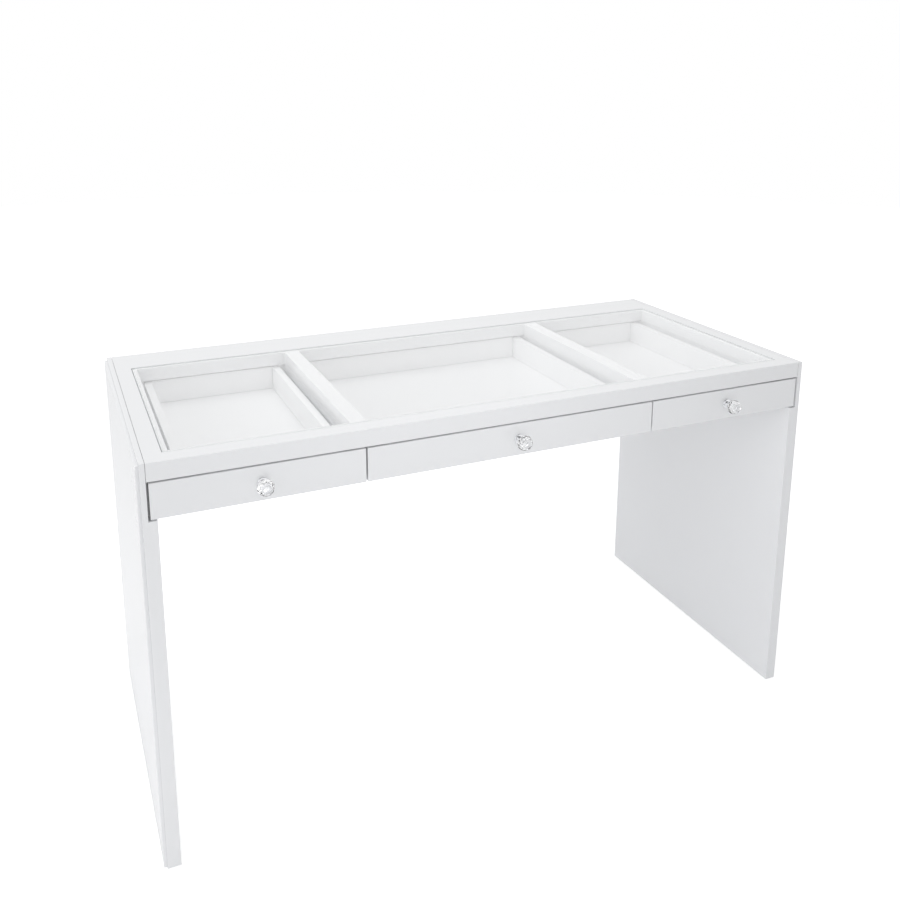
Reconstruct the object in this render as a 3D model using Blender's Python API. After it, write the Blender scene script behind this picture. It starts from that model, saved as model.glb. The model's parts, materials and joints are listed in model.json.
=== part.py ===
"""Manicure table: slab legs, a routed top with a glass panel, and three display drawers.

Metres, +Z up. The origin is on the floor under the centre of the bounding box, +X runs to
the sitter's right and -Y points at the sitter. Every drawer is modelled shut.
"""

import math

import bmesh
import bpy
from mathutils import Matrix, Vector

MM = 0.001

# Overall size
WIDTH = 1400 * MM
DEPTH = 625 * MM
HEIGHT = 778 * MM
KNOB_REACH = 36 * MM
GAP = 0.3 * MM  # air between pieces that touch

# Legs: a thick slab whose upper part is cut back to a thin cheek, leaving a shoulder
LEG_THICK = 30 * MM
CHEEK_THICK = 15 * MM
SHOULDER_Z = 675 * MM
LEG_ARRIS = 4 * MM
FINE_ARRIS_SHARE = 0.2  # the legs' other edges, as a share of the outer arris
GLIDE_HEIGHT = 2.5 * MM
GLIDE_RADIUS = 10 * MM
GLIDE_PIN_RADIUS = 1.5 * MM
GLIDE_PIN_LENGTH = 12 * MM
GLIDE_INSET = 45 * MM

# Routed top: one board with a rebate for the glass and three windows cut right through
TOP_THICK = 33 * MM
FRONT_RAIL = 36 * MM
REAR_RAIL = 99 * MM
SIDE_RAIL = 32 * MM
REBATE_DEPTH = 5 * MM
LIP = 11 * MM
BAR = 32 * MM
BAR_CENTRE = 306 * MM
TOP_SIDE_JOINT = 0.6 * MM
GLASS_CLEARANCE = 1.2 * MM
BOARD_ARRIS = 0.8 * MM

# Drawers
FRONT_THICK = 18 * MM
FRONT_BOTTOM = 678 * MM
FRONT_TOP = 741.8 * MM
FRONT_REVEAL = 3 * MM
CHEEK_REVEAL = 4 * MM
DRAWER_TOP = 741 * MM
DRAWER_BOTTOM = 680 * MM
DRAWER_DEPTH = 518 * MM
DRAWER_WALL = 15 * MM
FLOOR_THICK = 6 * MM
FLOOR_UNDERSIDE = 684 * MM
GROOVE_DEPTH = 6 * MM
BACK_THICK = 18 * MM

# Drawer slides: three nested channels on each side, full extension
SLIDE_SPACE = 13 * MM
SLIDE_GAUGE = 1.2 * MM
SLIDE_LENGTH = 500 * MM
SLIDE_Z = 711 * MM
CABINET_HALF_HEIGHT = 17.5 * MM
RUNNER_HALF_HEIGHT = 14.4 * MM
DRAWER_MEMBER_HALF_HEIGHT = 11 * MM
CHANNEL_STEP = 2.3 * MM  # depth from one channel's web to the next
FLANGE_SHORT = 2.4 * MM  # how far a flange stops before the far side of the slide

# Knobs and hardware
KNOB_Z = 711 * MM
CRYSTAL_SIDES = 12
CRYSTAL_RADIUS = 15 * MM
KNOB_BASE_LENGTH = 11.7 * MM
SCREW_RADIUS = 2 * MM
SCREW_HEAD_RADIUS = 4.2 * MM
SCREW_HEAD_HEIGHT = 2.4 * MM
BOLT_RADIUS = 3 * MM
BOLT_HEAD_RADIUS = 5 * MM
BOLT_HEAD_HEIGHT = 5 * MM
BOLT_HEAD_RECESS = 6 * MM
BOLT_BITE = 9 * MM  # how far a bolt reaches into the cheek
BOLT_DROP = 9 * MM  # bolt axis below the underside of the top
BOLT_FRONT_INSET = 60 * MM
BOLT_REAR_INSET = 60 * MM

# Places that follow from the sizes above
FRONT = (KNOB_REACH - DEPTH) / 2
BACK = FRONT + DEPTH
TOP_UNDERSIDE = HEIGHT - TOP_THICK
LIP_Z = HEIGHT - REBATE_DEPTH
CHEEK_FACE = WIDTH / 2 - CHEEK_THICK
GLASS_EDGE = CHEEK_FACE - SIDE_RAIL
WINDOW_EDGE = GLASS_EDGE - LIP
BEHIND_FRONTS = FRONT + FRONT_THICK + 2 * GAP
BACK_PANEL_FRONT = BACK - BACK_THICK
SIDES = {"left": -1, "right": 1}
ENDS = {"front": FRONT, "rear": BACK}

# Each drawer: its name, the bay between the box walls, and the span of its front
DRAWERS = [
    (
        "left",
        (-WINDOW_EDGE, -BAR_CENTRE - BAR / 2),
        (-CHEEK_FACE + CHEEK_REVEAL, -BAR_CENTRE - FRONT_REVEAL / 2),
    ),
    (
        "centre",
        (-BAR_CENTRE + BAR / 2, BAR_CENTRE - BAR / 2),
        (-BAR_CENTRE + FRONT_REVEAL / 2, BAR_CENTRE - FRONT_REVEAL / 2),
    ),
    (
        "right",
        (BAR_CENTRE + BAR / 2, WINDOW_EDGE),
        (BAR_CENTRE + FRONT_REVEAL / 2, CHEEK_FACE - CHEEK_REVEAL),
    ),
]


def clear_scene():
    for obj in list(bpy.data.objects):
        bpy.data.objects.remove(obj, do_unlink=True)


def finish(name, colour, roughness, metallic=0.0, transmission=0.0, ior=1.5):
    """A Principled BSDF material."""
    material = bpy.data.materials.new(name)
    material.use_nodes = True
    shader = material.node_tree.nodes["Principled BSDF"]
    shader.inputs["Base Color"].default_value = (*colour, 1)
    shader.inputs["Roughness"].default_value = roughness
    shader.inputs["Metallic"].default_value = metallic
    shader.inputs["Transmission Weight"].default_value = transmission
    shader.inputs["IOR"].default_value = ior
    material.diffuse_color = (*colour, 1)
    return material


def make_object(name, bm, material, location=(0, 0, 0), parent=None, smooth=False):
    """Turn a bmesh into a named object with outward faces, hung on a parent if one is given."""
    bmesh.ops.recalc_face_normals(bm, faces=bm.faces)
    mesh = bpy.data.meshes.new(name)
    bm.to_mesh(mesh)
    bm.free()
    if smooth:
        mesh.shade_smooth()
        mesh.set_sharp_from_angle(angle=math.radians(30))
    if material:
        mesh.materials.append(material)
    obj = bpy.data.objects.new(name, mesh)
    obj.location = location
    bpy.context.scene.collection.objects.link(obj)
    if parent:
        obj.parent = parent
        obj.matrix_parent_inverse = Matrix.Translation(parent.location).inverted()
    return obj


def pivot(name, location):
    """An empty that carries everything moving on one joint."""
    empty = bpy.data.objects.new(name, None)
    empty.empty_display_size = 0.05
    empty.location = location
    bpy.context.scene.collection.objects.link(empty)
    return empty


def soften(obj, width, by_weight=False):
    """Break the sharp edges with a narrow bevel."""
    bevel = obj.modifiers.new("arris", "BEVEL")
    bevel.width = width
    bevel.segments = 2
    bevel.limit_method = "WEIGHT" if by_weight else "ANGLE"
    return obj


def cut(obj, cutter):
    """Take the cutter's shape out of an object, and keep the cutter out of sight."""
    boolean = obj.modifiers.new("cut_" + cutter.name, "BOOLEAN")
    boolean.operation = "DIFFERENCE"
    boolean.solver = "EXACT"
    boolean.object = cutter
    cutter.hide_render = True
    cutter.display_type = "WIRE"


def box_bmesh(size):
    """A box of this size, centred on the origin."""
    bm = bmesh.new()
    bmesh.ops.create_cube(bm, size=1)
    bmesh.ops.scale(bm, vec=size, verts=bm.verts)
    return bm


def board(name, x_span, y_span, z_span, material, parent=None, arris=BOARD_ARRIS):
    """A flat board between these spans, with its origin at its middle."""
    spans = (x_span, y_span, z_span)
    size = [high - low for low, high in spans]
    middle = [(low + high) / 2 for low, high in spans]
    obj = make_object(name, box_bmesh(size), material, middle, parent)
    return soften(obj, arris) if arris else obj


def extruded(name, outline, y_span, material, parent=None):
    """An outline of (x, z) points drawn out along Y."""
    bm = bmesh.new()
    start = [bm.verts.new((x, 0, z)) for x, z in outline]
    face = bm.faces.new(start)
    drawn = bmesh.ops.extrude_face_region(bm, geom=[face])["geom"]
    far_end = [item for item in drawn if isinstance(item, bmesh.types.BMVert)]
    bmesh.ops.translate(bm, vec=(0, y_span[1] - y_span[0], 0), verts=far_end)
    return make_object(name, bm, material, (0, y_span[0], 0), parent)


def turned(name, profile, start, direction, material, parent=None, sides=24):
    """A (radius, distance) profile spun round the line from start along direction."""
    bm = bmesh.new()
    points = [bm.verts.new((radius, 0, distance)) for radius, distance in profile]
    lines = [bm.edges.new(pair) for pair in zip(points, points[1:])]
    bmesh.ops.spin(
        bm,
        geom=points + lines,
        cent=(0, 0, 0),
        axis=(0, 0, 1),
        angle=math.tau,
        steps=sides,
        use_merge=True,
    )
    bmesh.ops.remove_doubles(bm, verts=bm.verts, dist=0.01 * MM)
    turn = Vector((0, 0, 1)).rotation_difference(Vector(direction)).to_matrix().to_4x4()
    bmesh.ops.transform(bm, matrix=turn, verts=bm.verts)
    return make_object(name, bm, material, start, parent, smooth=True)


def rod_profile(radius, length):
    return [(0, 0), (radius, 0), (radius, length), (0, length)]


def make_leg(side, sign, lacquer):
    """A slab leg: full thickness up to the shoulder, then a cheek beside the drawer box."""
    outer = sign * WIDTH / 2
    inner = outer - sign * LEG_THICK
    cheek = outer - sign * CHEEK_THICK
    outline = [
        (outer, GLIDE_HEIGHT),
        (inner, GLIDE_HEIGHT),
        (inner, SHOULDER_Z),
        (cheek, SHOULDER_Z),
        (cheek, HEIGHT),
        (outer, HEIGHT),
    ]
    leg = extruded(f"{side}_leg", outline, (FRONT, BACK), lacquer)
    weigh_leg_edges(leg.data, outer)
    return soften(leg, LEG_ARRIS, by_weight=True)


def weigh_leg_edges(mesh, outer):
    """The two upright outer edges and the top outer edge are rounded more than the rest."""
    bm = bmesh.new()
    bm.from_mesh(mesh)
    weight = bm.edges.layers.float.new("bevel_weight_edge")
    for edge in bm.edges:
        start, end = (point.co for point in edge.verts)
        on_outer_face = all(abs(point.x - outer) < MM for point in (start, end))
        at_foot = all(point.z < GLIDE_HEIGHT + MM for point in (start, end))
        edge[weight] = 1.0 if on_outer_face and not at_foot else FINE_ARRIS_SHARE
    bm.to_mesh(mesh)
    bm.free()


def make_glides(side, sign, leg, plastic):
    """Two nail-on glides under a leg, each with its pin in a drilled hole."""
    x = sign * (WIDTH / 2 - LEG_THICK / 2)
    glide_profile = [
        (0, 0),
        (GLIDE_RADIUS - MM, 0),
        (GLIDE_RADIUS, MM),
        (GLIDE_RADIUS, GLIDE_HEIGHT - GAP),
        (GLIDE_PIN_RADIUS, GLIDE_HEIGHT - GAP),
        (GLIDE_PIN_RADIUS, GLIDE_HEIGHT + GLIDE_PIN_LENGTH),
        (0, GLIDE_HEIGHT + GLIDE_PIN_LENGTH),
    ]
    hole_profile = rod_profile(GLIDE_PIN_RADIUS + GAP, GLIDE_PIN_LENGTH + 2 * MM)
    for end, edge in ENDS.items():
        y = edge + (GLIDE_INSET if end == "front" else -GLIDE_INSET)
        turned(f"{side}_{end}_glide", glide_profile, (x, y, 0), (0, 0, 1), plastic)
        hole_start = (x, y, GLIDE_HEIGHT - MM)
        cut(leg, turned(f"cutter_{side}_{end}_glide", hole_profile, hole_start, (0, 0, 1), None, sides=12))


def make_box_side(side, sign, lacquer):
    """The thick wall of the drawer box that stands on the leg's shoulder."""
    span = sorted((sign * (CHEEK_FACE - GAP), sign * WINDOW_EDGE))
    return board(
        f"{side}_box_side",
        span,
        (BEHIND_FRONTS, BACK_PANEL_FRONT - GAP),
        (SHOULDER_Z + GAP, TOP_UNDERSIDE - GAP),
        lacquer,
    )


def make_leg_bolts(side, sign, leg, box_side, steel):
    """Two bolts through a box side into the leg's cheek, heads sunk in the box side."""
    tip_x = sign * (CHEEK_FACE + BOLT_BITE)
    inwards = (-sign, 0, 0)
    wall = abs(tip_x) - WINDOW_EDGE
    head_seat = wall - BOLT_HEAD_RECESS
    bolt_profile = [
        (0, 0),
        (BOLT_RADIUS - MM / 2, 0),
        (BOLT_RADIUS, MM),
        (BOLT_RADIUS, head_seat + GAP),
        (BOLT_HEAD_RADIUS, head_seat + GAP),
        (BOLT_HEAD_RADIUS, head_seat + BOLT_HEAD_HEIGHT),
        (0, head_seat + BOLT_HEAD_HEIGHT),
    ]
    hole_profile = [
        (0, -MM),
        (BOLT_RADIUS + GAP, -MM),
        (BOLT_RADIUS + GAP, head_seat),
        (BOLT_HEAD_RADIUS + GAP, head_seat),
        (BOLT_HEAD_RADIUS + GAP, wall + MM),
        (0, wall + MM),
    ]
    places = {"front": FRONT + BOLT_FRONT_INSET, "rear": BACK - BOLT_REAR_INSET}
    for end, y in places.items():
        start = (tip_x, y, TOP_UNDERSIDE - BOLT_DROP)
        turned(f"{side}_{end}_leg_bolt", bolt_profile, start, inwards, steel, sides=20)
        hole = turned(f"cutter_{side}_{end}_bolt", hole_profile, start, inwards, None, sides=20)
        cut(box_side, hole)
        cut(leg, hole)


def make_top_frame(lacquer):
    """One board with the glass rebate and the three windows cut out of it."""
    width = 2 * (CHEEK_FACE - TOP_SIDE_JOINT)
    top = board("top_frame", (-width / 2, width / 2), (FRONT, BACK), (TOP_UNDERSIDE, HEIGHT), lacquer)
    glass_y = (FRONT + FRONT_RAIL, BACK - REAR_RAIL)
    over = 5 * MM
    rebate = board(
        "cutter_glass_rebate", (-GLASS_EDGE, GLASS_EDGE), glass_y, (LIP_Z, HEIGHT + over), None, arris=0
    )
    cut(top, rebate)
    window_y = (glass_y[0] + LIP, glass_y[1] - LIP)
    for name, bay, _ in DRAWERS:
        window = board(
            f"cutter_{name}_window", bay, window_y, (TOP_UNDERSIDE - over, LIP_Z + over / 2), None, arris=0
        )
        cut(top, window)
    return glass_y


def make_glass(glass_y, glass):
    """The glass panel, lying on the lip and the two bars, level with the frame."""
    board(
        "glass_top",
        (-GLASS_EDGE + GLASS_CLEARANCE, GLASS_EDGE - GLASS_CLEARANCE),
        (glass_y[0] + GLASS_CLEARANCE, glass_y[1] - GLASS_CLEARANCE),
        (LIP_Z + GAP, HEIGHT),
        glass,
    )


def make_carcass(lacquer, steel, plastic):
    """Everything that stands still round the drawers."""
    for side, sign in SIDES.items():
        leg = make_leg(side, sign, lacquer)
        make_glides(side, sign, leg, plastic)
        box_side = make_box_side(side, sign, lacquer)
        make_leg_bolts(side, sign, leg, box_side, steel)
        middle = sign * BAR_CENTRE
        board(
            f"{side}_divider",
            (middle - BAR / 2, middle + BAR / 2),
            (BEHIND_FRONTS, BACK_PANEL_FRONT - GAP),
            (FRONT_BOTTOM, TOP_UNDERSIDE - GAP),
            lacquer,
        )
    board(
        "back_panel",
        (-CHEEK_FACE + GAP, CHEEK_FACE - GAP),
        (BACK_PANEL_FRONT, BACK),
        (SHOULDER_Z + GAP, TOP_UNDERSIDE - GAP),
        lacquer,
    )


def channel(name, wall_x, sign, web, tip, half_height, parent, steel):
    """A slide member: web and tip are depths from the wall, and the flanges run web to tip."""
    step = math.copysign(SLIDE_GAUGE, tip - web)
    low, high = SLIDE_Z - half_height, SLIDE_Z + half_height
    section = [
        (web, low),
        (tip, low),
        (tip, low + SLIDE_GAUGE),
        (web + step, low + SLIDE_GAUGE),
        (web + step, high - SLIDE_GAUGE),
        (tip, high - SLIDE_GAUGE),
        (tip, high),
        (web, high),
    ]
    outline = [(wall_x + sign * depth, z) for depth, z in section]
    return extruded(name, outline, (BEHIND_FRONTS, BEHIND_FRONTS + SLIDE_LENGTH), steel, parent)


def make_slides(name, bay, drawer, runners, steel):
    """The cabinet, intermediate and drawer members at both sides of one drawer."""
    last_web = SLIDE_SPACE - GAP
    first_tip = SLIDE_SPACE - FLANGE_SHORT
    for side, wall_x, sign in (("left", bay[0], 1), ("right", bay[1], -1)):
        root = f"{name}_drawer_{side}"
        second_web = GAP + CHANNEL_STEP
        third_tip = second_web + CHANNEL_STEP
        channel(root + "_cabinet_slide", wall_x, sign, GAP, first_tip, CABINET_HALF_HEIGHT, None, steel)
        channel(root + "_runner", wall_x, sign, second_web, first_tip, RUNNER_HALF_HEIGHT, runners, steel)
        channel(
            root + "_slide", wall_x, sign, last_web, third_tip, DRAWER_MEMBER_HALF_HEIGHT, drawer, steel
        )


def drawer_side_outline(outer, inner):
    """A drawer side seen from the front, with the groove that holds the floor."""
    groove = inner + math.copysign(GROOVE_DEPTH, outer - inner)
    floor_top = FLOOR_UNDERSIDE + FLOOR_THICK
    return [
        (outer, DRAWER_BOTTOM),
        (inner, DRAWER_BOTTOM),
        (inner, FLOOR_UNDERSIDE - GAP),
        (groove, FLOOR_UNDERSIDE - GAP),
        (groove, floor_top + GAP),
        (inner, floor_top + GAP),
        (inner, DRAWER_TOP),
        (outer, DRAWER_TOP),
    ]


def make_drawer_box(name, bay, drawer, melamine):
    """Two grooved sides, a floor slid into the grooves, and a back standing on the floor."""
    low, high = bay[0] + SLIDE_SPACE, bay[1] - SLIDE_SPACE
    inner_low, inner_high = low + DRAWER_WALL, high - DRAWER_WALL
    box_y = (BEHIND_FRONTS, BEHIND_FRONTS + DRAWER_DEPTH)
    floor_top = FLOOR_UNDERSIDE + FLOOR_THICK
    grip = GROOVE_DEPTH - 2 * GAP
    extruded(f"{name}_drawer_left_side", drawer_side_outline(low, inner_low), box_y, melamine, drawer)
    extruded(f"{name}_drawer_right_side", drawer_side_outline(high, inner_high), box_y, melamine, drawer)
    board(
        f"{name}_drawer_floor",
        (inner_low - grip, inner_high + grip),
        box_y,
        (FLOOR_UNDERSIDE, floor_top),
        melamine,
        drawer,
        arris=0,
    )
    board(
        f"{name}_drawer_back",
        (inner_low + GAP, inner_high - GAP),
        (box_y[1] - DRAWER_WALL, box_y[1]),
        (floor_top + GAP, DRAWER_TOP),
        melamine,
        drawer,
        arris=0.4 * MM,
    )


def make_drawer_front(name, span, drawer, lacquer):
    front = board(
        f"{name}_drawer_front",
        span,
        (FRONT, FRONT + FRONT_THICK),
        (FRONT_BOTTOM, FRONT_TOP),
        lacquer,
        drawer,
    )
    middle = (span[0] + span[1]) / 2
    hole_profile = rod_profile(SCREW_RADIUS + GAP, FRONT_THICK + 2 * MM)
    hole = turned(
        f"cutter_{name}_knob", hole_profile, (middle, FRONT - MM, KNOB_Z), (0, 1, 0), None, drawer, 16
    )
    cut(front, hole)
    return middle


def crystal_bmesh():
    """A cut stone: rings of corners, each ring turned half a step from the one before."""
    outline = [  # (radius, distance from the front's face)
        (0.40 * CRYSTAL_RADIUS, KNOB_BASE_LENGTH + GAP),
        (0.82 * CRYSTAL_RADIUS, 17 * MM),
        (1.00 * CRYSTAL_RADIUS, 22 * MM),
        (1.00 * CRYSTAL_RADIUS, 24.5 * MM),
        (0.80 * CRYSTAL_RADIUS, 31.5 * MM),
        (0.48 * CRYSTAL_RADIUS, KNOB_REACH),
    ]
    bm = bmesh.new()
    rings = []
    for turn, (radius, distance) in enumerate(outline):
        ring = []
        for corner in range(CRYSTAL_SIDES):
            angle = math.tau * (corner + turn / 2) / CRYSTAL_SIDES
            place = (radius * math.cos(angle), -distance, radius * math.sin(angle))
            ring.append(bm.verts.new(place))
        rings.append(ring)
    for near, far in zip(rings, rings[1:]):
        for corner in range(CRYSTAL_SIDES):
            following = (corner + 1) % CRYSTAL_SIDES
            bm.faces.new((near[corner], near[following], far[corner]))
            bm.faces.new((near[following], far[following], far[corner]))
    bm.faces.new(rings[0])
    bm.faces.new(rings[-1])
    return bm


def make_knob(name, x, drawer, chrome, crystal, steel):
    """A cut-crystal knob on a turned base, held by a screw from inside the drawer."""
    screw_end = KNOB_BASE_LENGTH - 3.5 * MM
    base_profile = [
        (0, screw_end + GAP),
        (SCREW_RADIUS + GAP, screw_end + GAP),
        (SCREW_RADIUS + GAP, GAP),
        (10.0 * MM, GAP),
        (10.0 * MM, 1.4 * MM),
        (9.2 * MM, 2.2 * MM),
        (6.0 * MM, 3.2 * MM),
        (4.6 * MM, 4.6 * MM),
        (4.6 * MM, 6.4 * MM),
        (6.0 * MM, 8.2 * MM),
        (7.8 * MM, 9.4 * MM),
        (7.8 * MM, KNOB_BASE_LENGTH),
        (0, KNOB_BASE_LENGTH),
    ]
    turned(f"{name}_knob_base", base_profile, (x, FRONT, KNOB_Z), (0, -1, 0), chrome, drawer)
    make_object(f"{name}_knob_crystal", crystal_bmesh(), crystal, (x, FRONT, KNOB_Z), drawer)
    head_seat = FRONT_THICK + GAP
    screw_profile = [
        (0, -screw_end),
        (SCREW_RADIUS, -screw_end),
        (SCREW_RADIUS, head_seat),
        (SCREW_HEAD_RADIUS, head_seat),
        (SCREW_HEAD_RADIUS, head_seat + SCREW_HEAD_HEIGHT / 2),
        (0.7 * SCREW_HEAD_RADIUS, head_seat + SCREW_HEAD_HEIGHT),
        (0, head_seat + SCREW_HEAD_HEIGHT),
    ]
    turned(f"{name}_knob_screw", screw_profile, (x, FRONT, KNOB_Z), (0, 1, 0), steel, drawer, sides=20)


def make_drawers(lacquer, melamine, chrome, crystal, steel):
    """Each drawer slides along -Y; its runners carry the intermediate slide members."""
    for name, bay, front_span in DRAWERS:
        middle = sum(front_span) / 2
        drawer = pivot(f"{name}_drawer", (middle, FRONT, SLIDE_Z))
        runners = pivot(f"{name}_runners", (middle, FRONT, SLIDE_Z))
        make_drawer_box(name, bay, drawer, melamine)
        knob_x = make_drawer_front(name, front_span, drawer, lacquer)
        make_knob(name, knob_x, drawer, chrome, crystal, steel)
        make_slides(name, bay, drawer, runners, steel)


def main():
    clear_scene()
    lacquer = finish("white_lacquer", (0.86, 0.87, 0.88), 0.12)
    melamine = finish("white_melamine", (0.84, 0.85, 0.86), 0.4)
    glass = finish("clear_glass", (0.97, 0.99, 0.98), 0.02, transmission=1.0, ior=1.52)
    crystal = finish("cut_crystal", (1.0, 1.0, 1.0), 0.0, transmission=1.0, ior=1.56)
    chrome = finish("chrome", (0.82, 0.83, 0.85), 0.08, metallic=1.0)
    steel = finish("zinc_steel", (0.62, 0.64, 0.66), 0.32, metallic=1.0)
    plastic = finish("glide_plastic", (0.80, 0.80, 0.79), 0.5)
    make_carcass(lacquer, steel, plastic)
    make_glass(make_top_frame(lacquer), glass)
    make_drawers(lacquer, melamine, chrome, crystal, steel)


main()
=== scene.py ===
# %% [markdown]
# # A glass-topped manicure table
#
# Two lacquered slab legs carry a shallow box. The box's top is one routed board with a pane
# of glass let into it, so that what lies in the three drawers can be seen from above.
#
# The frame loaded here fixes every size, place and joint. The script never moves it: it
# makes the finished shape of each piece, and the surface of each material.

import json
import math

import bmesh
import bpy
from mathutils import Matrix, Vector

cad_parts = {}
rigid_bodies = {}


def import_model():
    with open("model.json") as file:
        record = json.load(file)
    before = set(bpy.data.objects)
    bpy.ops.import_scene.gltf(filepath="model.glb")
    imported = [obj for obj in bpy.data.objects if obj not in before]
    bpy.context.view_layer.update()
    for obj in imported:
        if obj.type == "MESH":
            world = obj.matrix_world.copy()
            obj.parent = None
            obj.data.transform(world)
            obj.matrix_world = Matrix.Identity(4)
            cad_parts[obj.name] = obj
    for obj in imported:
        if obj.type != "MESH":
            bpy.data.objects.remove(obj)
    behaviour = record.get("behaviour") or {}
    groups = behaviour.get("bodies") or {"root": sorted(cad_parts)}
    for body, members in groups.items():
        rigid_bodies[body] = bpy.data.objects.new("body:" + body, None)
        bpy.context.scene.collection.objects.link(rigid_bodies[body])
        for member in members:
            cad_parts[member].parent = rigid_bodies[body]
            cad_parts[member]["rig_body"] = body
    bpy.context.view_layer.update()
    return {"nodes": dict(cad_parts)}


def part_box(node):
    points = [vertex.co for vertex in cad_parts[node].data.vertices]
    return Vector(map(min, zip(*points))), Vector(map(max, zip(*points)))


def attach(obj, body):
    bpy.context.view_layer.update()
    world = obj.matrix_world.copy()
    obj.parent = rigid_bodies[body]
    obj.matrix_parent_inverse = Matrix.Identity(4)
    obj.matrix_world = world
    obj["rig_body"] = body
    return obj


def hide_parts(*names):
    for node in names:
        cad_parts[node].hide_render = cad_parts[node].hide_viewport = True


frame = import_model()
MM = 0.001
put_in_scene = bpy.context.scene.collection.objects.link

# %% [markdown]
# ## The camera
#
# The table is seen from in front and to its left, from a little above the top. The camera
# looks down only slightly. A lens shift then slides the picture up and sideways, which keeps
# the table where it belongs without tilting the camera further.

# %% Place the camera
CAMERA_PLACE = (-0.8118, -1.7735, 1.3975)
CAMERA_TURN = 23.09  # degrees from straight ahead towards +X
CAMERA_DIP = 12.66  # degrees below the horizon

camera_data = bpy.data.cameras.new("camera")
camera_data.lens = 37.52
camera_data.sensor_width = 36
camera_data.shift_x = 0.0203
camera_data.shift_y = -0.1883
camera = bpy.data.objects.new("camera", camera_data)
camera.location = CAMERA_PLACE
camera.rotation_euler = (math.radians(90 - CAMERA_DIP), 0, math.radians(-CAMERA_TURN))
put_in_scene(camera)
bpy.context.scene.camera = camera
print("camera at", CAMERA_PLACE)

# %% [markdown]
# ## Writing shader maths as sums
#
# A shader pattern is a small formula. Adding its nodes one by one hides it, so a socket
# is wrapped in a class that understands + - and *. Each operator adds one Math node.
# The reflected forms let a number stand on the left, as in 1 - mask. Every other kind of node
# comes from one method, which takes the node's settings first and its sockets after.

# %% A socket that can be added and multiplied
def find_socket(sockets, key):
    """A socket by its number, its identifier or its name."""
    if isinstance(key, int):
        return sockets[key]
    return next(s for s in sockets if key in (s.identifier, s.name))


def set_stops(ramp, stops):
    """Give a colour ramp its (place, grey level) stops."""
    for index, (place, level) in enumerate(stops):
        stop = ramp.elements[index] if index < 2 else ramp.elements.new(place)
        stop.position = place
        stop.color = (level, level, level, 1)


class Signal:
    """One output of a node in a tree."""

    def __init__(self, tree, socket=None):
        self.tree = tree
        self.socket = socket

    def node(self, kind, settings=None, inputs=None, output=0):
        """Add a node and return one of its outputs."""
        added = self.tree.nodes.new(kind)
        for name, value in (settings or {}).items():
            if name == "stops":
                set_stops(added.color_ramp, value)
            else:
                setattr(added, name, value)
        for key, value in (inputs or {}).items():
            self.plug(find_socket(added.inputs, key), value)
        return Signal(self.tree, find_socket(added.outputs, output) if added.outputs else None)

    def plug(self, socket, value):
        """Link a signal into a socket, or set a plain value on it."""
        if isinstance(value, Signal):
            self.tree.links.new(value.socket, socket)
        elif socket.type == "RGBA":
            socket.default_value = (*value, 1)
        else:
            socket.default_value = value

    def sibling(self, output):
        """Another output of the same node."""
        return Signal(self.tree, find_socket(self.socket.node.outputs, output))

    def maths(self, operation, first, second):
        return self.node("ShaderNodeMath", {"operation": operation}, {0: first, 1: second})

    def __add__(self, other):
        return self.maths("ADD", self, other)

    def __radd__(self, other):
        return self.maths("ADD", other, self)

    def __sub__(self, other):
        return self.maths("SUBTRACT", self, other)

    def __rsub__(self, other):
        return self.maths("SUBTRACT", other, self)

    def __mul__(self, other):
        return self.maths("MULTIPLY", self, other)

    def __rmul__(self, other):
        return self.maths("MULTIPLY", other, self)

    def at_least(self, low):
        return self.maths("MAXIMUM", self, low)


print("shader sums ready")

# %% Patterns that several materials share
def start_material(name):
    """Start a material with an empty tree, and return the object's coordinates for its patterns."""
    material = bpy.data.materials.new(name)
    material.use_nodes = True
    material.node_tree.nodes.clear()
    return Signal(material.node_tree).node("ShaderNodeTexCoord", output="Object")


def finish_material(shader):
    """Connect the last shader to its material's output, and return the material."""
    shader.node("ShaderNodeOutputMaterial", inputs={"Surface": shader})
    material = next(m for m in bpy.data.materials if m.node_tree == shader.tree)
    print("material", material.name, "has", len(material.node_tree.nodes), "nodes")
    return material


def noise(points, scale, detail=2.0):
    """A cloudy pattern from 0 to 1, with about scale patches to the metre."""
    return points.node("ShaderNodeTexNoise", inputs={"Vector": points, "Scale": scale, "Detail": detail})


def stretched(points, scale):
    """The same points with each axis scaled, which draws a pattern out along one of them."""
    return points.node("ShaderNodeMapping", inputs={"Vector": points, "Scale": scale})


def blend_colours(share, first, second):
    """A colour between two, by a signal from 0 to 1."""
    inputs = {"Factor_Float": share, "A_Color": first, "B_Color": second}
    return share.node("ShaderNodeMix", {"data_type": "RGBA"}, inputs, "Result_Color")


def relief(height, distance):
    """A bump that leaves the shape alone and only turns the light."""
    return height.node("ShaderNodeBump", inputs={"Height": height, "Distance": distance})


def principled(points, **sockets):
    """A Principled shader. Underscores in the names of its sockets stand for spaces."""
    inputs = {name.replace("_", " "): value for name, value in sockets.items()}
    return points.node("ShaderNodeBsdfPrincipled", inputs=inputs)


def finish_principled(points, **sockets):
    return finish_material(principled(points, **sockets))


print("patterns ready")

# %% [markdown]
# ## White lacquer
#
# The legs, the top and the drawer fronts are fibreboard under a sprayed, polished gloss
# lacquer. Flat white would look like paper. What tells the eye that it is lacquer is a
# mirror-like coat with a very shallow ripple, called orange peel, and a tone that drifts
# slightly from one end of a board to the other. The thin lacquer on the rounded edges has
# its own slot: it is polished glossier there, and its colour is a touch lighter, which is a
# painted highlight along the edges.

# %% White lacquer
ORANGE_PEEL = 260  # ripples to the metre


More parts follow.
